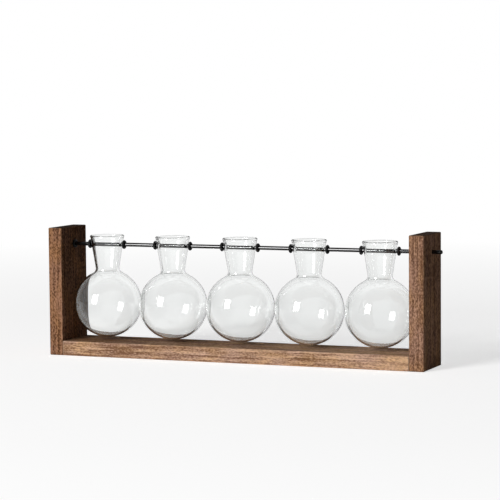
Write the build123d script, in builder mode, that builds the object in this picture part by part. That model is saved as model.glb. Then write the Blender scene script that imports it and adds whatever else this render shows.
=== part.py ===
"""Propagation vase: glass bulb vases hung on a rod in a U-shaped wooden stand.

Frame: +X along the rod, -Y towards the viewer, +Z up, sizes in millimetres.
Origin: on the table, under the middle of the stand.
"""

import os
from math import acos, degrees, hypot, sqrt

from build123d import *

# Glass vases
vase_count = 5
bulb_diameter = 69.0
glass_wall = 1.6
throat_diameter = 23.0  # outside of the neck where it meets the bulb
shoulder_radius = 5.0
mouth_diameter = 34.0  # outside of the neck at its upper end
neck_length = 35.7
rim_bead_radius = 1.25
mouth_above_rod = 8.0

# Gaps that place the vases in the stand
bulb_gap = 4.5  # between two neighbouring bulbs
end_gap = 3.5  # between the outermost bulb and the upright
shelf_gap = 2.8  # between the bulb and the shelf

# Wooden stand
board_thickness = 15.0
stand_depth = 55.0
upright_above_rod = 17.5
edge_radius = 1.0

# Rod and rubber rings
rod_diameter = 4.0
rod_overhang = 10.0
rod_end_radius = 1.3
rod_clearance = 0.3  # all round, in the wood and in the glass
ring_section = 2.4
ring_fit = 0.05  # between the ring and the rod, all round
neck_ring_gap = 1.6  # between the ring and the neck
end_ring_gap = 0.4  # between the end ring and the upright

# Dowelled corner joints
dowel_diameter = 6.0
dowel_in_upright = 9.0
dowel_in_shelf = 15.0
dowel_spacing = 28.0
dowel_chamfer = 0.7
dowel_fit = 0.05
dowel_end_gap = 0.6

# Keyhole hanger plates, let in flush in the back edges
plate_length = 38.0
plate_width = 11.0
plate_thickness = 1.6
plate_below_top = 38.0  # from the top of the upright down to the plate's middle
plate_fit = 0.2
keyhole_entry_diameter = 8.0
keyhole_slot_width = 4.2
keyhole_drop = 8.0  # from the entry up to the end of the slot
head_room_width = 9.0
head_room_depth = 7.0
screw_spacing = 28.0
screw_diameter = 2.6
screw_head_diameter = 5.2
screw_length = 13.0
screw_point = 3.0
screw_fit = 0.05

# Places that follow from the sizes
bulb_radius = bulb_diameter / 2
throat_radius = throat_diameter / 2
mouth_radius = mouth_diameter / 2
throat_rise = sqrt(bulb_radius**2 - throat_radius**2)
vase_pitch = bulb_diameter + bulb_gap
bulb_centre = board_thickness + shelf_gap + bulb_radius
throat_height = bulb_centre + throat_rise
mouth_height = throat_height + neck_length
rod_height = mouth_height - mouth_above_rod
stand_height = rod_height + upright_above_rod
inner_width = (vase_count - 1) * vase_pitch + bulb_diameter + 2 * end_gap
inner_face = inner_width / 2
upright_middle = inner_face + board_thickness / 2
rod_length = inner_width + 2 * board_thickness + 2 * rod_overhang
rod_hole_radius = rod_diameter / 2 + rod_clearance
ring_major_radius = rod_diameter / 2 + ring_fit + ring_section / 2
ring_outer_radius = ring_major_radius + ring_section / 2
neck_slope = (mouth_radius - throat_radius) / neck_length
neck_beside_ring = mouth_radius - neck_slope * (mouth_above_rod - ring_outer_radius)
ring_offset = neck_beside_ring + neck_ring_gap + ring_section / 2
end_ring_place = inner_face - end_ring_gap - ring_section / 2
shelf_middle = board_thickness / 2
back_face = stand_depth / 2
plate_height = stand_height - plate_below_top
keyhole_entry_height = plate_height - keyhole_drop / 2
dowel_spots = [(-dowel_spacing / 2, shelf_middle), (dowel_spacing / 2, shelf_middle)]
screw_heights = [plate_height - screw_spacing / 2, plate_height + screw_spacing / 2]


def back_edge_plane():
    """Plane on the back edges of the boards, looking into the wood."""
    return Plane.XZ.offset(-back_face)


def save(piece, label):
    """Name a piece and write it to its own file."""
    piece.label = label
    export_step(piece, f"parts/{label}.step")


def build_upright(side):
    """Board with a rod hole, two blind dowel holes and a let-in for the hanger."""
    middle = side * upright_middle
    with BuildPart() as upright:
        with BuildSketch(Plane.XY):
            with Locations((middle, 0)):
                Rectangle(board_thickness, stand_depth)
        extrude(amount=stand_height)
        fillet(upright.edges(), radius=edge_radius)

        with BuildSketch(Plane.YZ.offset(middle)):
            with Locations((0, rod_height)):
                Circle(rod_hole_radius)
        extrude(amount=board_thickness, both=True, mode=Mode.SUBTRACT)

        with BuildSketch(Plane.YZ.offset(side * inner_face)):
            with Locations(*dowel_spots):
                Circle(dowel_diameter / 2 + dowel_fit)
        extrude(amount=side * (dowel_in_upright + dowel_end_gap), mode=Mode.SUBTRACT)

        with BuildSketch(back_edge_plane()):
            with Locations((middle, plate_height)):
                SlotOverall(plate_length + 2 * plate_fit, plate_width + 2 * plate_fit, rotation=90)
        extrude(amount=plate_thickness, mode=Mode.SUBTRACT)

        with BuildSketch(back_edge_plane()):
            with Locations((middle, plate_height)):
                SlotCenterToCenter(keyhole_drop, head_room_width, rotation=90)
        extrude(amount=plate_thickness + head_room_depth, mode=Mode.SUBTRACT)

        with BuildSketch(back_edge_plane()):
            for height in screw_heights:
                with Locations((middle, height)):
                    Circle(screw_diameter / 2 + screw_fit)
        extrude(amount=screw_length + 2 * screw_fit, mode=Mode.SUBTRACT)
    return upright.part


def build_shelf():
    """Board between the uprights, with two dowel holes in each end."""
    with BuildPart() as shelf:
        with BuildSketch(Plane.YZ.offset(-inner_face)):
            with Locations((0, shelf_middle)):
                Rectangle(stand_depth, board_thickness)
        extrude(amount=inner_width)
        fillet(shelf.edges().filter_by(Axis.X), radius=edge_radius)

        for side in (-1, 1):
            with BuildSketch(Plane.YZ.offset(side * inner_face)):
                with Locations(*dowel_spots):
                    Circle(dowel_diameter / 2 + dowel_fit)
            extrude(amount=-side * (dowel_in_shelf + dowel_end_gap), mode=Mode.SUBTRACT)
    return shelf.part


def build_dowel(side, spot):
    """Wooden pin across one corner joint, chamfered at both ends."""
    with BuildPart() as dowel:
        with BuildSketch(Plane.YZ.offset(side * (inner_face - dowel_in_shelf))):
            with Locations(spot):
                Circle(dowel_diameter / 2)
        extrude(amount=side * (dowel_in_shelf + dowel_in_upright))
        chamfer(dowel.edges().filter_by(GeomType.CIRCLE), length=dowel_chamfer)
    return dowel.part


def build_rod():
    """Round rod through both uprights and all the necks, with rounded ends."""
    with BuildPart() as rod:
        with BuildSketch(Plane.YZ.offset(-rod_length / 2)):
            with Locations((0, rod_height)):
                Circle(rod_diameter / 2)
        extrude(amount=rod_length)
        fillet(rod.edges().filter_by(GeomType.CIRCLE), radius=rod_end_radius)
    return rod.part


def build_ring(middle):
    """Rubber ring on the rod."""
    with BuildPart() as ring:
        with BuildSketch(Plane.XZ):
            with Locations((middle, rod_height + ring_major_radius)):
                Circle(ring_section / 2)
        revolve(axis=Axis((middle, 0, rod_height), (1, 0, 0)))
    return ring.part


def build_vase(middle):
    """Blown bulb with a flared neck, a beaded rim and two cross holes."""
    neck_run = hypot(mouth_radius - throat_radius, neck_length)
    bead_x = mouth_radius - glass_wall / 2 * neck_length / neck_run
    bead_z = mouth_height + glass_wall / 2 * (mouth_radius - throat_radius) / neck_run
    throat_angle = degrees(acos(throat_radius / bulb_radius))
    with BuildPart() as vase:
        with BuildSketch(Plane((middle, 0, 0), x_dir=(1, 0, 0), z_dir=(0, -1, 0))):
            with BuildLine() as outline:
                bulb = CenterArc((0, bulb_centre), bulb_radius, -90, 90 + throat_angle)
                Line(bulb @ 1, (mouth_radius, mouth_height))
                fillet(outline.vertices().sort_by(Axis.Y)[1], radius=shoulder_radius)
                offset(amount=glass_wall, side=Side.LEFT)
            make_face()
            with Locations((bead_x, bead_z)):
                Circle(rim_bead_radius)
        revolve(axis=Axis((middle, 0, 0), (0, 0, 1)))

        with BuildSketch(Plane.YZ.offset(middle)):
            with Locations((0, rod_height)):
                Circle(rod_hole_radius)
        extrude(amount=mouth_diameter, both=True, mode=Mode.SUBTRACT)
    return vase.part


def build_hanger_plate(side):
    """Keyhole plate with a countersunk screw hole at each end."""
    middle = side * upright_middle
    with BuildPart() as plate:
        with BuildSketch(back_edge_plane()):
            with Locations((middle, plate_height)):
                SlotOverall(plate_length, plate_width, rotation=90)
            with Locations((middle, keyhole_entry_height)):
                Circle(keyhole_entry_diameter / 2, mode=Mode.SUBTRACT)
            with Locations((middle, plate_height)):
                SlotCenterToCenter(keyhole_drop, keyhole_slot_width, rotation=90, mode=Mode.SUBTRACT)
        extrude(amount=plate_thickness)

        for height in screw_heights:
            with Locations(Plane((middle, back_face, height), z_dir=(0, 1, 0))):
                CounterSinkHole(
                    screw_diameter / 2 + screw_fit,
                    screw_head_diameter / 2 + screw_fit,
                    counter_sink_angle=90,
                )
    return plate.part


def build_screw(side, height):
    """Countersunk wood screw that holds a hanger plate."""
    middle = side * upright_middle
    head_drop = (screw_head_diameter - screw_diameter) / 2
    with BuildPart() as screw:
        with BuildSketch(Plane.XY.offset(height)):
            with BuildLine():
                Polyline(
                    (middle, back_face),
                    (middle + screw_head_diameter / 2, back_face),
                    (middle + screw_diameter / 2, back_face - head_drop),
                    (middle + screw_diameter / 2, back_face - screw_length + screw_point),
                    (middle, back_face - screw_length),
                    close=True,
                )
            make_face()
        revolve(axis=Axis((middle, 0, height), (0, 1, 0)))
    return screw.part


os.makedirs("parts", exist_ok=True)

save(build_shelf(), "shelf_board")
save(build_rod(), "hanging_rod")

for side, name in ((-1, "left"), (1, "right")):
    save(build_upright(side), f"{name}_upright")
    save(build_ring(side * end_ring_place), f"{name}_end_ring")
    save(build_hanger_plate(side), f"{name}_hanger_plate")
    for spot, place in zip(dowel_spots, ("front", "back")):
        save(build_dowel(side, spot), f"{name}_{place}_dowel")
    for height, place in zip(screw_heights, ("lower", "upper")):
        save(build_screw(side, height), f"{name}_{place}_screw")

for number in range(1, vase_count + 1):
    middle = (number - (vase_count + 1) / 2) * vase_pitch
    save(build_vase(middle), f"vase_{number}")
    save(build_ring(middle - ring_offset), f"vase_{number}_left_ring")
    save(build_ring(middle + ring_offset), f"vase_{number}_right_ring")
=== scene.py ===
"""Looks of the propagation vase: stained wood, black rod, rubber rings and blown glass bulbs.

Everything is in metres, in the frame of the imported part: +X along the rod,
-Y towards the viewer, +Z up.
"""

import logging
import math
from dataclasses import dataclass
from enum import Enum

import bpy
from mathutils import Matrix, Vector


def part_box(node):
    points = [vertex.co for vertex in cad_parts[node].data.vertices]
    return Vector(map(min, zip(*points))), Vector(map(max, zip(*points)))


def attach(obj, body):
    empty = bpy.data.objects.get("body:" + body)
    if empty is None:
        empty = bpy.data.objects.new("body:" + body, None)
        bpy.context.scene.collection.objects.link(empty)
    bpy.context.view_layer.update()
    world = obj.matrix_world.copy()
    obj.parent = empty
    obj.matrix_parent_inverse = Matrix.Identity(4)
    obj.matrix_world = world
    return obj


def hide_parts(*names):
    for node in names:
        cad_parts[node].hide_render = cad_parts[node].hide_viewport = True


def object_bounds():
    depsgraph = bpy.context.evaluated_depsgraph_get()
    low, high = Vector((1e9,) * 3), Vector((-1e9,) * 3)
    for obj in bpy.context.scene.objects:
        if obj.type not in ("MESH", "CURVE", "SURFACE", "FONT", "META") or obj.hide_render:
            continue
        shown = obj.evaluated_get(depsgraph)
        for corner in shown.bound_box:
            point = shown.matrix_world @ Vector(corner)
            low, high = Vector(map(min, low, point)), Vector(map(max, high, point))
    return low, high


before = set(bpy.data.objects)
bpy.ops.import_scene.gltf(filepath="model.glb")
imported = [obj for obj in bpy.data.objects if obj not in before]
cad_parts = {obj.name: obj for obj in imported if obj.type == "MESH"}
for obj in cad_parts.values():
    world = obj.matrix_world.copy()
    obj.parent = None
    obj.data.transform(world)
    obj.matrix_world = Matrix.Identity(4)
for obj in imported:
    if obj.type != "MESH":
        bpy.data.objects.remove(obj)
CAD_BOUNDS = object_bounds()

Triple = tuple[float, float, float]
Colour = Triple
Socket = bpy.types.NodeSocket

LOG = logging.getLogger("propagation_vase")
VASE_NUMBERS = range(1, 6)
X_AXIS = Vector((1.0, 0.0, 0.0))
Y_AXIS = Vector((0.0, 1.0, 0.0))
Z_AXIS = Vector((0.0, 0.0, 1.0))
MILLIMETRE = 0.001
WELD_DISTANCE = 0.005 * MILLIMETRE
SMOOTH_ANGLE = math.radians(40)
DRILL_FACES = 48

# Places of the factor, the first and the second value among a mix node's inputs
FLOAT_MIX = (0, 2, 3)
COLOUR_MIX = (0, 6, 7)
COLOUR_RESULT = 2

# Radians per metre that a wave texture of scale 1 runs through
WAVE_RATE = 20.0


class Grain(Enum):
    """Direction in which the fibres of a board run."""

    ACROSS = "x"
    UPRIGHT = "z"

    @property
    def axis(self) -> int:
        """Return the number of the axis that the fibres follow."""
        return 0 if self is Grain.ACROSS else 2

    def turn(self) -> Triple:
        """Return the rotation that lays the fibres along the texture's Z axis."""
        return (0.0, math.radians(90), 0.0) if self is Grain.ACROSS else (0.0, 0.0, 0.0)


class Side(Enum):
    """Left and right ends of the stand, with their sign along X."""

    LEFT = -1
    RIGHT = 1

    @property
    def word(self) -> str:
        """Return the side's name as the nodes spell it."""
        return self.name.lower()


class NodeTree:
    """Nodes of a material or a world, with short calls to add and join them."""

    def __init__(self, tree: bpy.types.NodeTree) -> None:
        """Start from an empty tree.

        Args:
            tree: Blender's tree to fill.
        """
        self.tree = tree
        self.tree.nodes.clear()

    def add(self, kind: str, **settings: object) -> bpy.types.Node:
        """Add one node.

        Args:
            kind: Blender's type name of the node.
            **settings: Properties to set on the node.

        Returns:
            The new node.
        """
        node = self.tree.nodes.new(kind)
        for key, value in settings.items():
            setattr(node, key, value)
        return node

    def join(self, source: Socket, target: Socket) -> None:
        """Link an output to an input."""
        self.tree.links.new(source, target)

    def spread(
        self, source: Socket, low: float, high: float, to_low: float, to_high: float
    ) -> Socket:
        """Map a value from one range to another, clamped.

        Args:
            source: Value to map.
            low: Start of the source's range.
            high: End of the source's range.
            to_low: Result at the start.
            to_high: Result at the end.

        Returns:
            The mapped value.
        """
        node = self.add("ShaderNodeMapRange")
        ends = {"From Min": low, "From Max": high, "To Min": to_low, "To Max": to_high}
        for key, value in ends.items():
            node.inputs[key].default_value = value
        self.join(source, node.inputs["Value"])
        return node.outputs["Result"]

    def math(
        self, operation: str, first: Socket | float, second: Socket | float = 0.0
    ) -> Socket:
        """Combine two values.

        Args:
            operation: Name of the math operation.
            first: First value or socket.
            second: Second value or socket.

        Returns:
            The result.
        """
        node = self.add("ShaderNodeMath", operation=operation)
        for place, value in enumerate((first, second)):
            if isinstance(value, (int, float)):
                node.inputs[place].default_value = value
            else:
                self.join(value, node.inputs[place])
        return node.outputs["Value"]

    def choose(self, switch: Socket, off: Socket, on: Socket) -> Socket:
        """Pick one of two values.

        Args:
            switch: 0 or 1.
            off: Value at 0.
            on: Value at 1.

        Returns:
            The chosen value.
        """
        node = self.add("ShaderNodeMix", data_type="FLOAT")
        for place, value in zip(FLOAT_MIX, (switch, off, on)):
            self.join(value, node.inputs[place])
        return node.outputs[0]

    def weigh(self, layers: tuple[tuple[Socket, float], ...]) -> Socket:
        """Add layers of tone up by weight.

        Args:
            layers: Each layer's value and weight.

        Returns:
            The weighted sum.
        """
        total, *others = (self.math("MULTIPLY", value, weight) for value, weight in layers)
        for layer in others:
            total = self.math("ADD", total, layer)
        return total

    def seen_through(self, light: bpy.types.Node) -> Socket:
        """Mark the rays that show the background through glass.

        Rays that a lit surface sends through glass are left out, so that the
        bright background adds no light to the object.

        Args:
            light: Light path node of the tree.

        Returns:
            1 for those rays and 0 for all others.
        """
        straight = self.math("LESS_THAN", light.outputs["Diffuse Depth"], 0.5)
        return self.math("MULTIPLY", light.outputs["Is Transmission Ray"], straight)


class Shader(NodeTree):
    """Finish of a piece: a material with a principled shader."""

    def __init__(self, name: str) -> None:
        """Start a material with only a principled shader and its output.

        Args:
            name: Name of the material.
        """
        self.material = bpy.data.materials.new(name)
        self.material.use_nodes = True
        super().__init__(self.material.node_tree)
        self.surface = self.add("ShaderNodeBsdfPrincipled")
        self.output = self.add("ShaderNodeOutputMaterial")
        self.join(self.surface.outputs["BSDF"], self.output.inputs["Surface"])

    def feed(self, name: str, source: Socket) -> None:
        """Link a value to one of the principled shader's inputs."""
        self.join(source, self.surface.inputs[name])

    def place(
        self,
        scale: Triple = (1.0, 1.0, 1.0),
        shift: Triple = (0.0, 0.0, 0.0),
        turn: Triple = (0.0, 0.0, 0.0),
        source: Socket | None = None,
    ) -> Socket:
        """Map the piece's own coordinates.

        Args:
            scale: Stretch along each axis.
            shift: Offset in metres.
            turn: Rotation in radians.
            source: Coordinates to map, or None for the object's own.

        Returns:
            The mapped vector.
        """
        mapping = self.add("ShaderNodeMapping")
        mapping.inputs["Scale"].default_value = scale
        mapping.inputs["Location"].default_value = shift
        mapping.inputs["Rotation"].default_value = turn
        if source is None:
            source = self.add("ShaderNodeTexCoord").outputs["Object"]
        self.join(source, mapping.inputs["Vector"])
        return mapping.outputs["Vector"]

    def noise(
        self, vector: Socket, scale: float, detail: float = 3.0, roughness: float = 0.5
    ) -> bpy.types.Node:
        """Add a noise texture.

        Args:
            vector: Coordinates of the texture.
            scale: Patches per metre.
            detail: Octaves of finer noise.
            roughness: Weight of the finer octaves.

        Returns:
            The texture node.
        """
        node = self.add("ShaderNodeTexNoise")
        node.inputs["Scale"].default_value = scale
        node.inputs["Detail"].default_value = detail
        node.inputs["Roughness"].default_value = roughness
        self.join(vector, node.inputs["Vector"])
        return node

    def speckle(
        self, vector: Socket, scale: float, detail: float = 3.0, roughness: float = 0.5
    ) -> Socket:
        """Return the tone of a noise texture, from 0 to 1, with the settings that noise takes."""
        return self.noise(vector, scale, detail, roughness).outputs["Fac"]

    def ramp(self, source: Socket, stops: tuple[tuple[float, Colour], ...]) -> Socket:
        """Turn a value into a colour.

        Args:
            source: Value from 0 to 1.
            stops: Place and colour of each stop, in order.

        Returns:
            The colour.
        """
        node = self.add("ShaderNodeValToRGB")
        elements = node.color_ramp.elements
        while len(elements) < len(stops):
            elements.new(0.5)
        for element, (place, colour) in zip(elements, stops):
            element.position = place
            element.color = (*colour, 1.0)
        self.join(source, node.inputs["Fac"])
        return node.outputs["Color"]

    def mix(
        self,
        blend: str,
        share: Socket | float,
        base: Socket,
        over: Socket | Colour,
    ) -> Socket:
        """Blend two colours.

        Args:
            blend: Name of the blend mode.
            share: How much of the second colour shows.
            base: First colour.
            over: Second colour.

        Returns:
            The blended colour.
        """
        node = self.add("ShaderNodeMix", data_type="RGBA", blend_type=blend)
        factor, first, second = (node.inputs[place] for place in COLOUR_MIX)
        if isinstance(share, (int, float)):
            factor.default_value = share
        else:
            self.join(share, factor)
        self.join(base, first)
        if isinstance(over, tuple):
            second.default_value = (*over, 1.0)
        else:
            self.join(over, second)
        return node.outputs[COLOUR_RESULT]

    def bump(self, height: Socket, depth: float, strength: float) -> None:
        """Raise the surface by a height.

        Args:
            height: Height from 0 to 1.
            depth: Depth of the relief in metres.
            strength: How strongly it shows.
        """
        node = self.add("ShaderNodeBump")
        node.inputs["Strength"].default_value = strength
        node.inputs["Distance"].default_value = depth
        self.join(height, node.inputs["Height"])
        self.feed("Normal", node.outputs["Normal"])

    def set(self, **values: object) -> None:
        """Set plain values on the shader, with spaces written as underscores."""
        for key, value in values.items():
            self.surface.inputs[key.replace("_", " ")].default_value = value


@dataclass(frozen=True)
class Stain:
    """Shades of one stained board, from its palest streaks to its pores."""

    light: Colour
    middle: Colour
    dark: Colour
    pore: Colour
    # Paler tone of the edges: partly worn wood, partly a painted highlight along the arrises.
    rubbed: Colour


LEFT_STAIN = Stain(
    light=(0.380, 0.199, 0.111),
    middle=(0.222, 0.109, 0.056),
    dark=(0.098, 0.045, 0.024),
    pore=(0.048, 0.023, 0.013),
    rubbed=(0.38, 0.22, 0.13),
)
RIGHT_STAIN = Stain(
    light=(0.49, 0.282, 0.175),
    middle=(0.29, 0.157, 0.094),
    dark=(0.135, 0.067, 0.040),
    pore=(0.055, 0.028, 0.017),
    rubbed=(0.40, 0.24, 0.15),
)
SHELF_STAIN = Stain(
    light=(0.68, 0.446, 0.296),
    middle=(0.452, 0.280, 0.181),
    dark=(0.205, 0.106, 0.062),
    pore=(0.095, 0.049, 0.030),
    rubbed=(0.58, 0.38, 0.25),
)


@dataclass(frozen=True)
class Figure:
    """Layer of noise in wood, drawn out along the fibres."""

    stretch: float
    scale: float
    detail: float
    roughness: float

    def draw(self, shader: Shader, fibres: Socket) -> Socket:
        """Add the layer to a shader.

        Args:
            shader: Shader to add to.
            fibres: Coordinates with the fibres along Z.

        Returns:
            The layer's tone, from 0 to 1.
        """
        drawn = shader.place(scale=(1.0, 1.0, self.stretch), source=fibres)
        return shader.speckle(drawn, self.scale, self.detail, self.roughness)


STRANDS = Figure(stretch=0.05, scale=900.0, detail=3.0, roughness=0.55)
STREAKS = Figure(stretch=0.10, scale=330.0, detail=3.0, roughness=0.6)
FLECKS = Figure(stretch=0.50, scale=760.0, detail=2.0, roughness=0.6)
PATCHES = Figure(stretch=0.3, scale=30.0, detail=2.0, roughness=0.5)
HUES = Figure(stretch=0.35, scale=85.0, detail=2.0, roughness=0.5)
PORES = Figure(stretch=0.09, scale=1500.0, detail=2.0, roughness=0.4)


@dataclass(frozen=True)
class StainedWood:
    """Brown stained board: growth rings, fibres, flecks, pores and paler edges, part wear and part
    painted highlight.
    """

    node: str
    stain: Stain
    grain: Grain
    seed: float
    seed_across: float = 0.021
    seed_along: float = 0.37
    heart_offset: float = 0.05
    # Painted light: a tone slope along the board, lighter towards one end, standing in for light
    # that falls unevenly along it.
    painted_light_slope: float = 0.0
    rings: float = 0.14
    strands: float = 0.55
    streaks: float = 0.36
    flecks: float = 1.25
    patches: float = 0.45
    tone_reach: float = 0.23
    ring_spacing: float = 0.0042
    ring_depth: float = 0.25
    trunk_shift: Triple = (0.055, 0.034, 0.0)
    trunk_turn: Triple = (math.radians(2.2), math.radians(1.4), 0.0)
    trunk_stretch: float = 0.06
    sway_reach: float = 0.012
    pore_start: float = 0.58
    pore_full: float = 0.68
    pore_share: float = 0.5
    pore_depth: float = 0.7
    soak_full: float = 0.0002
    soak_end: float = 0.0008
    # Band of paler edges: partly wear, partly a painted highlight.
    pale_edge_width: float = 0.0011
    pale_edge_share: float = 0.62
    soaked: Colour = (0.32, 0.36, 0.40)
    golden: Colour = (1.045, 1.0, 0.85)
    rosy: Colour = (0.985, 0.98, 1.06)

    def material(self, low: Vector, high: Vector) -> bpy.types.Material:
        """Make the board's material.

        Args:
            low: Lowest corner of the board.
            high: Highest corner of the board.

        Returns:
            The material.
        """
        shader = Shader(f"{self.node}_wood")
        shift = (self.seed_across * self.seed, self.heart_offset, self.seed_along * self.seed)
        fibres = shader.place(turn=self.grain.turn(), shift=shift)
        rings = self.growth_rings(shader, fibres)
        strand = STRANDS.draw(shader, fibres)
        patch = PATCHES.draw(shader, fibres)
        pores = shader.spread(PORES.draw(shader, fibres), self.pore_start, self.pore_full, 0.0, 1.0)

        tone = shader.weigh(
            (
                (rings, self.rings),
                (strand, self.strands),
                (STREAKS.draw(shader, fibres), self.streaks),
                (FLECKS.draw(shader, fibres), self.flecks),
                (patch, self.patches),
                # Painted light: the tone slope along the board.
                (self.along(shader, low, high), -self.painted_light_slope),
            )
        )
        stain = self.stain
        mean = (self.rings + self.strands + self.streaks + self.flecks + self.patches) / 2
        depth = shader.spread(tone, mean - self.tone_reach, mean + self.tone_reach, 0.0, 1.0)
        colour = shader.ramp(depth, ((0.08, stain.light), (0.48, stain.middle), (0.9, stain.dark)))
        hue = shader.ramp(HUES.draw(shader, fibres), ((0.36, self.golden), (0.64, self.rosy)))
        colour = shader.mix("MULTIPLY", 1.0, colour, hue)
        filled = shader.math("MULTIPLY", pores, self.pore_share)
        colour = shader.mix("MIX", filled, colour, stain.pore)
        colour = shader.mix("MULTIPLY", self.end_grain(shader, low, high), colour, self.soaked)
        # Paler edges: partly wear, partly a painted highlight along the edges.
        colour = shader.mix("MIX", self.edge_wear_and_highlight(shader, low, high, patch), colour, stain.rubbed)
        shader.feed("Base Color", colour)

        shader.feed("Roughness", shader.spread(strand, low=0.3, high=0.7, to_low=0.6, to_high=0.76))
        relief = shader.weigh(((strand, 1.0), (pores, -self.pore_depth), (rings, -self.ring_depth)))
        shader.bump(relief, depth=0.0001, strength=0.45)
        shader.set(Specular_IOR_Level=0.02)
        return shader.material

    def along(self, shader: Shader, low: Vector, high: Vector) -> Socket:
        """Find how far a point lies along the board's fibres.

        Args:
            shader: Shader to add to.
            low: Lowest corner of the board.
            high: Highest corner of the board.

        Returns:
            Place from -0.5 at the low end to 0.5 at the high end.
        """
        axis = self.grain.axis
        split = shader.add("ShaderNodeSeparateXYZ")
        shader.join(shader.place(), split.inputs["Vector"])
        return shader.spread(split.outputs[axis], low[axis], high[axis], -0.5, 0.5)

    def end_grain(self, shader: Shader, low: Vector, high: Vector) -> Socket:
        """Find the ends of the board, where the cut fibres drink more stain.

        Args:
            shader: Shader to add to.
            low: Lowest corner of the board.
            high: Highest corner of the board.

        Returns:
            1 on the end faces, falling to 0 just inside them.
        """
        length = high[self.grain.axis] - low[self.grain.axis]
        off_middle = shader.math("ABSOLUTE", self.along(shader, low, high))
        inside = shader.math("MULTIPLY", shader.math("SUBTRACT", 0.5, off_middle), length)
        return shader.spread(inside, self.soak_full, self.soak_end, 1.0, 0.0)

    def growth_rings(self, shader: Shader, fibres: Socket) -> Socket:
        """Lay growth rings round a trunk axis beside the board.

        Args:
            shader: Shader to add to.
            fibres: Coordinates with the fibres along Z.

        Returns:
            Ring tone, from 0 in early wood to 1 in late wood.
        """
        trunk = shader.place(
            scale=(1.0, 1.0, self.trunk_stretch),
            shift=self.trunk_shift,
            turn=self.trunk_turn,
            source=fibres,
        )
        sway = shader.noise(trunk, scale=26.0, detail=2.0)
        centred = shader.add("ShaderNodeVectorMath", operation="SUBTRACT")
        shader.join(sway.outputs["Color"], centred.inputs[0])
        centred.inputs[1].default_value = (0.5, 0.5, 0.5)
        swing = shader.add("ShaderNodeVectorMath", operation="SCALE")
        shader.join(centred.outputs["Vector"], swing.inputs[0])
        swing.inputs["Scale"].default_value = self.sway_reach
        bent = shader.add("ShaderNodeVectorMath", operation="ADD")
        shader.join(trunk, bent.inputs[0])
        shader.join(swing.outputs["Vector"], bent.inputs[1])
        rings = shader.add(
            "ShaderNodeTexWave", wave_type="RINGS", rings_direction="Z", wave_profile="SAW"
        )
        rings.inputs["Scale"].default_value = math.tau / (WAVE_RATE * self.ring_spacing)
        rings.inputs["Distortion"].default_value = 3.5
        rings.inputs["Detail"].default_value = 3.0
        rings.inputs["Detail Scale"].default_value = 1.5
        shader.join(bent.outputs["Vector"], rings.inputs["Vector"])
        return shader.spread(rings.outputs["Fac"], low=0.15, high=0.95, to_low=0.0, to_high=1.0)

    def edge_wear_and_highlight(self, shader: Shader, low: Vector, high: Vector, patch: Socket) -> Socket:
        """Find how near a point lies to the board's edges.

        Args:
            shader: Shader to add to.
            low: Lowest corner of the board.
            high: Highest corner of the board.
            patch: Noise that breaks the paler edges up.

        Returns:
            Share of the paler edge tone, part wear and part painted highlight, from 0 on the faces
            to about a half on the edges.
        """
        middle = (low + high) / 2
        half = (high - low) / 2
        split = shader.add("ShaderNodeSeparateXYZ")
        shader.join(shader.place(shift=tuple(-middle)), split.inputs["Vector"])
        inside = [
            shader.math("SUBTRACT", half[axis], shader.math("ABSOLUTE", split.outputs[axis]))
            for axis in range(3)
        ]
        nearer = shader.math("MINIMUM", inside[0], inside[1])
        farther = shader.math("MAXIMUM", inside[0], inside[1])
        second = shader.math("MAXIMUM", nearer, shader.math("MINIMUM", farther, inside[2]))
        edge_band = shader.spread(second, 0.0, self.pale_edge_width, self.pale_edge_share, 0.0)
        broken = shader.spread(patch, low=0.35, high=0.65, to_low=0.45, to_high=1.0)
        return shader.math("MULTIPLY", edge_band, broken)


@dataclass(frozen=True)
class DowelWood:
    """Pale hardwood of the hidden pins."""

    light: Colour = (0.66, 0.49, 0.31)
    dark: Colour = (0.50, 0.34, 0.19)

    def material(self) -> bpy.types.Material:
        """Make the material, with fibres along X.

        Returns:
            The material.
        """
        shader = Shader("dowel_beech")
        strand = shader.speckle(shader.place(scale=(0.05, 1.0, 1.0)), scale=900.0)
        shader.feed("Base Color", shader.ramp(strand, ((0.3, self.light), (0.7, self.dark))))
        shader.bump(strand, depth=0.0001, strength=0.4)
        shader.set(Roughness=0.7)
        return shader.material


@dataclass(frozen=True)
class BlownGlass:
    """Clear blown glass with a slight sway in its walls."""

    tint: Colour = (0.982, 0.99, 0.986)
    refraction: float = 1.52

    def material(self) -> bpy.types.Material:
        """Make the material.

        Returns:
            The material.
        """
        shader = Shader("clear_blown_glass")
        sway = shader.speckle(shader.place(), scale=55.0, detail=1.0)
        upward = shader.place(scale=(1.0, 1.0, 0.5))
        film = shader.speckle(upward, scale=140.0, detail=4.0, roughness=0.6)
        shader.bump(sway, depth=0.0004, strength=0.25)
        shader.feed("Roughness", shader.spread(film, low=0.45, high=0.8, to_low=0.0, to_high=0.05))
        shader.set(Base_Color=(*self.tint, 1.0), Transmission_Weight=1.0, IOR=self.refraction)
        return shader.material


@dataclass(frozen=True)
class BlackLacquer:
    """Glossy black coat of the rod, with faint rubbing along it."""

    colour: Colour = (0.006, 0.006, 0.0065)
    # Paler colour of the worn scuffs along the rod.
    rubbed: Colour = (0.018, 0.0175, 0.017)

    def material(self) -> bpy.types.Material:
        """Make the material.

        Returns:
            The material.
        """
        shader = Shader("black_rod_lacquer")
        lengthways = shader.place(scale=(0.06, 1.0, 1.0))
        scuff = shader.speckle(lengthways, scale=1300.0, detail=3.0, roughness=0.6)
        peel = shader.speckle(shader.place(), scale=900.0, detail=2.0)
        shader.feed("Base Color", shader.ramp(scuff, ((0.5, self.colour), (0.85, self.rubbed))))
        gloss = shader.spread(scuff, low=0.35, high=0.8, to_low=0.04, to_high=0.11)
        shader.feed("Roughness", gloss)
        shader.bump(peel, depth=0.00001, strength=0.2)
        shader.set(Specular_IOR_Level=0.85)
        return shader.material


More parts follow.
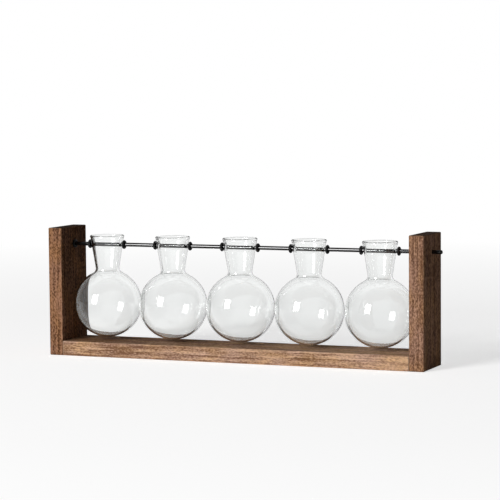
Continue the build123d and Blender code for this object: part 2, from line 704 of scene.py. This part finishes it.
@dataclass(frozen=True)
class BlackRubber:
    """Satin black rubber of the rings, with a little dust."""

    colour: Colour = (0.010, 0.010, 0.011)
    dusty: Colour = (0.038, 0.037, 0.036)

    def material(self) -> bpy.types.Material:
        """Make the material.

        Returns:
            The material.
        """
        shader = Shader("black_ring_rubber")
        dust = shader.speckle(shader.place(), scale=1100.0, detail=4.0, roughness=0.65)
        shader.feed("Base Color", shader.ramp(dust, ((0.45, self.colour), (0.8, self.dusty))))
        shader.feed("Roughness", shader.spread(dust, low=0.3, high=0.7, to_low=0.42, to_high=0.62))
        shader.bump(dust, depth=0.00004, strength=0.4)
        shader.set(Specular_IOR_Level=0.4)
        return shader.material


@dataclass(frozen=True)
class ZincSteel:
    """Bright zinc-plated steel of the hanger plates and their screws."""

    name: str
    light: Colour = (0.66, 0.65, 0.62)
    dark: Colour = (0.44, 0.435, 0.42)

    def material(self) -> bpy.types.Material:
        """Make the material, with drawing marks along Z.

        Returns:
            The material.
        """
        shader = Shader(self.name)
        lengthways = shader.place(scale=(1.0, 1.0, 0.04))
        drawn = shader.speckle(lengthways, scale=2600.0, detail=3.0, roughness=0.6)
        stain = shader.speckle(shader.place(), scale=260.0)
        tone = shader.weigh(((drawn, 0.5), (stain, 0.5)))
        shader.feed("Base Color", shader.ramp(tone, ((0.35, self.light), (0.68, self.dark))))
        gloss = shader.spread(tone, low=0.35, high=0.65, to_low=0.28, to_high=0.46)
        shader.feed("Roughness", gloss)
        shader.bump(drawn, depth=0.00002, strength=0.5)
        shader.set(Metallic=1.0)
        return shader.material


class Bench:
    """Modelling moves that the pieces share."""

    @staticmethod
    def clear() -> None:
        """Leave edit mode and select nothing."""
        if bpy.context.mode != "OBJECT":
            bpy.ops.object.mode_set(mode="OBJECT")
        bpy.ops.object.select_all(action="DESELECT")

    @staticmethod
    def take(piece: bpy.types.Object) -> None:
        """Make a piece the only selected and active one.

        Args:
            piece: Piece to take in hand.
        """
        Bench.clear()
        piece.select_set(True)
        bpy.context.view_layer.objects.active = piece

    @staticmethod
    def lathe(
        name: str, outline: list[Vector], centre: Vector, axis: Vector, steps: int
    ) -> bpy.types.Object:
        """Turn an outline round an axis into a closed, smooth piece.

        Args:
            name: Name of the piece.
            outline: Points of the section, in order, from axis to axis.
            centre: Point on the axis.
            axis: Direction of the axis.
            steps: Faces round the axis.

        Returns:
            The finished piece.
        """
        Bench.clear()
        bpy.ops.mesh.primitive_plane_add(size=MILLIMETRE)
        piece = bpy.context.active_object
        piece.name = name
        bpy.ops.object.mode_set(mode="EDIT")
        bpy.ops.mesh.select_all(action="SELECT")
        bpy.ops.mesh.merge(type="CENTER")
        bpy.ops.transform.translate(value=outline[0])
        for start, end in zip(outline, outline[1:]):
            bpy.ops.mesh.extrude_region_move(TRANSFORM_OT_translate={"value": end - start})
        bpy.ops.mesh.select_all(action="SELECT")
        bpy.ops.mesh.spin(steps=steps, angle=math.tau, center=centre, axis=axis)
        bpy.ops.mesh.select_all(action="SELECT")
        bpy.ops.mesh.remove_doubles(threshold=WELD_DISTANCE)
        bpy.ops.mesh.normals_make_consistent(inside=False)
        bpy.ops.object.mode_set(mode="OBJECT")
        bpy.ops.object.shade_smooth_by_angle(angle=SMOOTH_ANGLE)
        return piece

    @staticmethod
    def drill(piece: bpy.types.Object, start: Vector, end: Vector, radius: float) -> None:
        """Cut a round hole through a piece.

        Args:
            piece: Piece to cut.
            start: One end of the drill.
            end: Other end of the drill.
            radius: Radius of the hole.
        """
        Bench.clear()
        run = end - start
        turn = run.to_track_quat("Z", "Y").to_euler()
        bpy.ops.mesh.primitive_cylinder_add(
            vertices=DRILL_FACES,
            radius=radius,
            depth=run.length,
            location=(start + end) / 2,
            rotation=turn,
        )
        Bench.cut(piece, bpy.context.active_object)

    @staticmethod
    def cut(piece: bpy.types.Object, cutter: bpy.types.Object) -> None:
        """Take a cutter's shape out of a piece and put the cutter away.

        Args:
            piece: Piece to cut.
            cutter: Shape to take out.
        """
        Bench.take(piece)
        hole = piece.modifiers.new("hole", "BOOLEAN")
        hole.operation = "DIFFERENCE"
        hole.solver = "EXACT"
        hole.object = cutter
        bpy.ops.object.modifier_apply(modifier=hole.name)
        bpy.data.objects.remove(cutter)

    @staticmethod
    def copy(piece: bpy.types.Object, name: str, shift: Vector) -> bpy.types.Object:
        """Copy a piece with its own mesh, moved in the mesh itself.

        Args:
            piece: Piece to copy.
            name: Name of the copy.
            shift: How far the copy lies from the piece.

        Returns:
            The copy.
        """
        Bench.take(piece)
        bpy.ops.object.duplicate(linked=False)
        twin = bpy.context.active_object
        twin.name = name
        twin.data.name = name
        twin.data.transform(Matrix.Translation(shift))
        return twin

    @staticmethod
    def dress(piece: bpy.types.Object, material: bpy.types.Material) -> None:
        """Give a piece one material all over and report it.

        Args:
            piece: Piece to dress.
            material: Finish to give it.
        """
        piece.data.materials.clear()
        piece.data.materials.append(material)
        LOG.info("%s is dressed in %s", piece.name, material.name)


def middle_of(node: str) -> Vector:
    """Return the middle of a node's box in the frame."""
    low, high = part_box(node)
    return (low + high) / 2


def arc(centre: Vector, radius: float, start: float, end: float, steps: int) -> list[Vector]:
    """Points along an arc in the XZ plane.

    Args:
        centre: Centre of the arc.
        radius: Radius of the arc.
        start: Angle of the first point, in radians from +X towards +Z.
        end: Angle of the last point.
        steps: Number of chords.

    Returns:
        The points, both ends included.
    """
    angles = [start + (end - start) * step / steps for step in range(steps + 1)]
    offsets = [(radius * math.cos(angle), 0.0, radius * math.sin(angle)) for angle in angles]
    return [centre + Vector(offset) for offset in offsets]


@dataclass
class WoodenStand:
    """Two uprights and a shelf, with the hidden dowels of their joints."""

    shelf_seed: float = 1.7
    left_seed: float = 3.1
    right_seed: float = 4.6

    def build(self) -> None:
        """Dress the boards and dowels that the frame already shapes."""
        shelf = StainedWood(
            "shelf_board",
            SHELF_STAIN,
            Grain.ACROSS,
            self.shelf_seed,
            # Painted light: the shelf grows lighter towards its right end.
            painted_light_slope=0.15,
            streaks=0.6,
            flecks=0.75,
            tone_reach=0.21,
        )
        left = StainedWood(
            # Painted shade: the left upright grows darker towards its top.
            "left_upright", LEFT_STAIN, Grain.UPRIGHT, self.left_seed, painted_light_slope=-0.05, tone_reach=0.17
        )
        right = StainedWood("right_upright", RIGHT_STAIN, Grain.UPRIGHT, self.right_seed)
        for wood in (shelf, left, right):
            Bench.dress(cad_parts[wood.node], wood.material(*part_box(wood.node)))
        beech = DowelWood().material()
        for side in Side:
            for place in ("front", "back"):
                Bench.dress(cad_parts[f"{side.word}_{place}_dowel"], beech)


@dataclass
class HangingRod:
    """Black rod with rounded ends, and the rubber rings on it."""

    end_round: float = 0.0013
    end_steps: int = 8
    rod_steps: int = 64
    ring_steps: int = 72
    section_steps: int = 36
    seam_height: float = 0.00006

    def build(self) -> None:
        """Build the rod and all the rings."""
        self.build_rod("hanging_rod")
        rubber = BlackRubber().material()
        names = [f"{side.word}_end_ring" for side in Side]
        names += [f"vase_{number}_{side.word}_ring" for number in VASE_NUMBERS for side in Side]
        pattern = self.build_ring(names[0])
        first = middle_of(names[0])
        for name in names:
            ring = Bench.copy(pattern, f"{name}_rubber", middle_of(name) - first)
            Bench.dress(ring, rubber)
            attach(ring, "stand" if "end" in name else name)
            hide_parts(name)
        bpy.data.objects.remove(pattern)

    def build_rod(self, node: str) -> None:
        """Turn the rod.

        Args:
            node: Rod of the frame to build over.
        """
        low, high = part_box(node)
        middle = middle_of(node)
        corner = self.end_round
        flat = (high.z - low.z) / 2 - corner
        left_corner = Vector((low.x + corner, 0.0, flat))
        right_corner = Vector((high.x - corner, 0.0, flat))
        outline = [Vector((low.x, 0.0, 0.0))]
        outline += arc(left_corner, corner, math.pi, math.pi / 2, self.end_steps)
        outline += arc(right_corner, corner, math.pi / 2, 0.0, self.end_steps)
        outline += [Vector((high.x, 0.0, 0.0))]
        raised = [point + Vector((0.0, 0.0, middle.z)) for point in outline]
        rod = Bench.lathe("hanging_rod_steel", raised, middle, X_AXIS, self.rod_steps)
        Bench.dress(rod, BlackLacquer().material())
        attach(rod, "stand")
        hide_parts("hanging_rod")

    def build_ring(self, node: str) -> bpy.types.Object:
        """Turn one ring with a faint moulding seam round its outside.

        Args:
            node: Ring of the frame to build over.

        Returns:
            The ring.
        """
        low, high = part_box(node)
        middle = middle_of(node)
        section = (high.x - low.x) / 2
        reach = (high.z - low.z) / 2
        centre = middle + Vector((0.0, 0.0, reach - section))
        top = math.pi / 2
        outline = arc(centre, section, top, top + math.tau, self.section_steps)
        seam = centre + Vector((0.0, 0.0, section + self.seam_height))
        outline[0] = seam
        outline[-1] = seam
        return Bench.lathe("ring_pattern", outline, middle, X_AXIS, self.ring_steps)


@dataclass
class BulbVases:
    """Blown bulbs with flared necks, beaded rims and cross holes for the rod."""

    throat_radius: float = 0.0115
    mouth_radius: float = 0.017
    mouth_drop: float = 0.0014
    wall: float = 0.0016
    shoulder: float = 0.005
    bead: float = 0.00125
    hole_radius: float = 0.0023
    bulb_steps: int = 44
    shoulder_steps: int = 12
    neck_rows: int = 40
    rim_steps: int = 16
    steps: int = 128

    def build(self) -> None:
        """Build one vase and copy it along the rod."""
        glass = BlownGlass().material()
        pattern = self.build_pattern("vase_1")
        first = middle_of("vase_1")
        for number in VASE_NUMBERS:
            name = f"vase_{number}"
            shift = Vector((middle_of(name).x - first.x, 0.0, 0.0))
            vase = Bench.copy(pattern, f"{name}_glass", shift)
            Bench.dress(vase, glass)
            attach(vase, name)
            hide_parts(name)
        bpy.data.objects.remove(pattern)

    def build_pattern(self, node: str) -> bpy.types.Object:
        """Turn the glass of one vase and drill it for the rod.

        Args:
            node: Vase of the frame to build over.

        Returns:
            The vase.
        """
        low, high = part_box(node)
        axis = Vector((middle_of(node).x, 0.0, 0.0))
        bulb = max(high.x - low.x, high.y - low.y) / 2
        outline = [axis + point for point in self.section(low.z, high.z, bulb)]
        vase = Bench.lathe("vase_pattern", outline, axis, Z_AXIS, self.steps)
        reach = 2 * self.mouth_radius * X_AXIS
        across = Vector((axis.x, 0.0, middle_of("hanging_rod").z))
        Bench.drill(vase, across - reach, across + reach, self.hole_radius)
        Bench.take(vase)
        bpy.ops.object.shade_smooth_by_angle(angle=SMOOTH_ANGLE)
        return vase

    def section(self, floor: float, top: float, bulb: float) -> list[Vector]:
        """Section of the glass, from the outside pole over the rim to the inside pole.

        Args:
            floor: Height of the bulb's lowest point.
            top: Height of the rim's highest point.
            bulb: Outer radius of the bulb.

        Returns:
            The points of the section.
        """
        centre = floor + bulb
        throat_rise = math.sqrt(bulb**2 - self.throat_radius**2)
        throat = Vector((self.throat_radius, 0.0, centre + throat_rise))
        mouth = Vector((self.mouth_radius, 0.0, top - self.mouth_drop))
        along = (mouth - throat).normalized()
        inward = Vector((-along.z, 0.0, along.x))
        outside = self.wall_line(centre, bulb, throat, along, self.shoulder)
        inside = self.wall_line(
            centre, bulb - self.wall, throat + inward * self.wall, along, self.shoulder + self.wall
        )
        lean = math.atan2(along.z, along.x)
        lip = mouth + inward * self.wall / 2
        spread = math.pi / 2 + math.asin(self.wall / 2 / self.bead)
        rim = arc(lip, self.bead, lean - spread, lean + spread, self.rim_steps)
        outer_neck = self.rows(outside[-1], rim[0])
        inner_neck = self.rows(rim[-1], inside[-1])
        return outside + outer_neck + rim + inner_neck + inside[::-1]

    def rows(self, start: Vector, end: Vector) -> list[Vector]:
        """Points between two ends of a straight stretch, so that its shading stays true."""
        return [start.lerp(end, row / self.neck_rows) for row in range(1, self.neck_rows)]

    def wall_line(
        self, centre: float, bulb: float, throat: Vector, along: Vector, shoulder: float
    ) -> list[Vector]:
        """One side of the wall from the pole to the end of the shoulder.

        Args:
            centre: Height of the bulb's centre.
            bulb: Radius of this side of the bulb.
            throat: Point on this side of the neck.
            along: Direction up the neck.
            shoulder: Radius of the hollow between bulb and neck.

        Returns:
            The points, lowest first.
        """
        outward = Vector((along.z, 0.0, -along.x))
        pole = Vector((0.0, 0.0, centre))
        start = throat + outward * shoulder - pole
        climb = start.dot(along)
        reach = math.sqrt(climb**2 - start.length_squared + (bulb + shoulder) ** 2) - climb
        hollow = pole + start + along * reach
        meet = math.atan2(hollow.z - centre, hollow.x)
        lean = math.atan2(-outward.z, -outward.x)
        round_part = arc(pole, bulb, -math.pi / 2, meet, self.bulb_steps)
        hollow_part = arc(hollow, shoulder, meet + math.pi, lean, self.shoulder_steps)
        return round_part + hollow_part[1:]


@dataclass
class WallHangers:
    """Keyhole plates in the back edges, and their countersunk screws."""

    rim_share: float = 0.04
    point_start: float = 0.77
    steps: int = 32
    slot_width: float = 0.0007
    slot_depth: float = 0.0009
    slot_reach: float = 1.15

    def build(self) -> None:
        """Dress the plates and build the screws."""
        plate = ZincSteel("plate_zinc").material()
        screw = ZincSteel("screw_zinc", light=(0.72, 0.70, 0.66)).material()
        for side in Side:
            Bench.dress(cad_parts[f"{side.word}_hanger_plate"], plate)
            for place in ("lower", "upper"):
                self.build_screw(f"{side.word}_{place}_screw", screw)

    def build_screw(self, node: str, material: bpy.types.Material) -> None:
        """Turn a countersunk screw and cut its cross.

        Args:
            node: Screw of the frame to build over.
            material: Finish of the screw.
        """
        low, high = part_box(node)
        middle = middle_of(node)
        head = (high.x - low.x) / 2
        rim = self.rim_share * head
        shank = head / 2
        length = high.y - low.y
        profile = (
            (0.0, 0.0),
            (head - rim, 0.0),
            (head, rim),
            (shank, head - shank),
            (shank, self.point_start * length),
            (0.0, length),
        )
        outline = [Vector((middle.x + reach, high.y - down, middle.z)) for reach, down in profile]
        screw = Bench.lathe(f"{node}_steel", outline, middle, Y_AXIS, self.steps)
        for turn in (math.radians(45), math.radians(-45)):
            Bench.clear()
            bpy.ops.mesh.primitive_cube_add(
                size=1.0,
                location=(middle.x, high.y, middle.z),
                rotation=(0.0, turn, 0.0),
                scale=(self.slot_reach * head, 2 * self.slot_depth, self.slot_width),
            )
            Bench.cut(screw, bpy.context.active_object)
        Bench.dress(screw, material)
        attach(screw, "stand")
        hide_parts(node)


@dataclass
class Studio:
    """Pale floor, soft light and the camera."""

    camera_turn: float = 22.979
    camera_rise: float = 5.711
    camera_roll: float = -0.461
    camera_distance: float = 2.0934
    camera_lens: float = 151.5
    sensor_width: float = 36.0
    aim: Triple = (0.0108, 0.0, 0.1101)
    floor_faces: int = 96
    floor_drop: float = 0.00005
    floor_reach: float = 6.0
    floor_colour: Colour = (0.88, 0.88, 0.88)
    floor_glow: float = 0.66
    fade_start: float = 0.5
    fade_end: float = 1.6
    key_turn: float = -23.0
    key_rise: float = 15.5
    key_distance: float = 6.0
    key_width: float = 2.0
    key_height: float = 3.1
    key_power: float = 310.0
    key_aim_height: float = 0.06
    fill_level: float = 0.15
    fill_overhead: float = 0.03
    room_front: float = 0.05
    room_back: float = 0.3
    paper_edge: float = 0.62
    side_edge: float = 0.9
    paper_side: float = 0.12

    def build(self) -> None:
        """Set up floor, light and camera."""
        self.build_floor()
        self.build_world()
        self.build_lamps()
        self.build_camera()
        bpy.context.scene.view_settings.view_transform = "Standard"

    @staticmethod
    def direction(turn: float, rise: float) -> Vector:
        """Find the unit vector towards an azimuth and elevation.

        Args:
            turn: Azimuth in degrees, 0 in front and 90 to the right.
            rise: Elevation in degrees.

        Returns:
            The vector.
        """
        azimuth = math.radians(turn)
        elevation = math.radians(rise)
        level = math.cos(elevation)
        return Vector((math.sin(azimuth) * level, -math.cos(azimuth) * level, math.sin(elevation)))

    def build_floor(self) -> None:
        """Lay a round pale floor that fades into the background."""
        Bench.clear()
        bpy.ops.mesh.primitive_circle_add(
            vertices=self.floor_faces,
            radius=self.floor_reach,
            fill_type="NGON",
            location=(0.0, 0.0, -self.floor_drop),
        )
        floor = bpy.context.active_object
        floor.name = "studio_floor"
        shader = Shader("floor_paper")
        shader.set(Base_Color=(*self.floor_colour, 1.0), Roughness=0.9, Specular_IOR_Level=0.1)
        light = shader.add("ShaderNodeLightPath")
        seen = shader.math("MAXIMUM", light.outputs["Is Camera Ray"], shader.seen_through(light))
        glow = shader.add("ShaderNodeEmission")
        shader.join(shader.math("MULTIPLY", seen, self.floor_glow), glow.inputs["Strength"])
        lit = shader.add("ShaderNodeAddShader")
        shader.join(shader.surface.outputs["BSDF"], lit.inputs[0])
        shader.join(glow.outputs["Emission"], lit.inputs[1])
        distance = shader.add("ShaderNodeVectorMath", operation="LENGTH")
        shader.join(shader.place(), distance.inputs[0])
        fade = shader.spread(distance.outputs["Value"], self.fade_start, self.fade_end, 0.0, 1.0)
        mixed = shader.add("ShaderNodeMixShader")
        shader.join(shader.math("MULTIPLY", seen, fade), mixed.inputs[0])
        shader.join(lit.outputs["Shader"], mixed.inputs[1])
        shader.join(shader.add("ShaderNodeEmission").outputs["Emission"], mixed.inputs[2])
        shader.join(mixed.outputs["Shader"], shader.output.inputs["Surface"])
        Bench.dress(floor, shader.material)

    def build_world(self) -> None:
        """White background, darker sides for the glass, a dark room for gloss, and a soft fill."""
        world = bpy.data.worlds.new("studio_world")
        bpy.context.scene.world = world
        world.use_nodes = True
        sky = NodeTree(world.node_tree)
        background = sky.add("ShaderNodeBackground")
        background.inputs["Color"].default_value = (1.0, 1.0, 1.0, 1.0)
        light = sky.add("ShaderNodeLightPath")
        toward = sky.add("ShaderNodeSeparateXYZ")
        sky.join(sky.add("ShaderNodeTexCoord").outputs["Generated"], toward.inputs["Vector"])
        aside = sky.math("ABSOLUTE", toward.outputs["X"])
        room = sky.spread(
            toward.outputs["Y"], low=-0.3, high=0.4, to_low=self.room_front, to_high=self.room_back
        )
        paper = sky.spread(
            aside, low=self.paper_edge, high=self.side_edge, to_low=1.0, to_high=self.paper_side
        )
        fill = sky.spread(
            toward.outputs["Z"],
            low=0.05,
            high=0.75,
            to_low=self.fill_level,
            to_high=self.fill_overhead,
        )
        level = sky.choose(light.outputs["Is Glossy Ray"], fill, room)
        level = sky.choose(sky.seen_through(light), level, paper)
        level = sky.math("MAXIMUM", light.outputs["Is Camera Ray"], level)
        sky.join(level, background.inputs["Strength"])
        output = sky.add("ShaderNodeOutputWorld")
        sky.join(background.outputs["Background"], output.inputs["Surface"])

    def build_lamps(self) -> None:
        """Hang the soft key lamp in front and to the left."""
        lamp = bpy.data.lights.new("key_softbox", "AREA")
        lamp.shape = "RECTANGLE"
        lamp.size = self.key_width
        lamp.size_y = self.key_height
        lamp.energy = self.key_power
        key = bpy.data.objects.new("key_softbox", lamp)
        bpy.context.scene.collection.objects.link(key)
        toward = self.direction(self.key_turn, self.key_rise)
        key.location = self.key_aim_height * Z_AXIS + toward * self.key_distance
        key.rotation_euler = toward.to_track_quat("Z", "Y").to_euler()

    def build_camera(self) -> None:
        """Stand the camera at the viewing angle."""
        low, high = CAD_BOUNDS
        back = self.direction(self.camera_turn, self.camera_rise)
        place = Vector((0.0, 0.0, (low.z + high.z) / 2)) + back * self.camera_distance
        forward = (Vector(self.aim) - place).normalized()
        right = forward.cross(Z_AXIS).normalized()
        up = right.cross(forward)
        roll = math.radians(self.camera_roll)
        level = right * math.cos(roll) + up * math.sin(roll)
        upright = up * math.cos(roll) - right * math.sin(roll)
        camera = bpy.data.objects.new("camera", bpy.data.cameras.new("camera"))
        bpy.context.scene.collection.objects.link(camera)
        camera.data.sensor_width = self.sensor_width
        camera.data.lens = self.camera_lens
        turn = Matrix((level, upright, -forward)).transposed().to_4x4()
        camera.matrix_world = Matrix.Translation(place) @ turn
        bpy.context.scene.camera = camera


def main() -> None:
    """Build every sub-assembly in order."""
    logging.basicConfig(level=logging.INFO, format="%(name)s: %(message)s")
    WoodenStand().build()
    HangingRod().build()
    BulbVases().build()
    WallHangers().build()
    Studio().build()


if __name__ == "__main__":
    main()
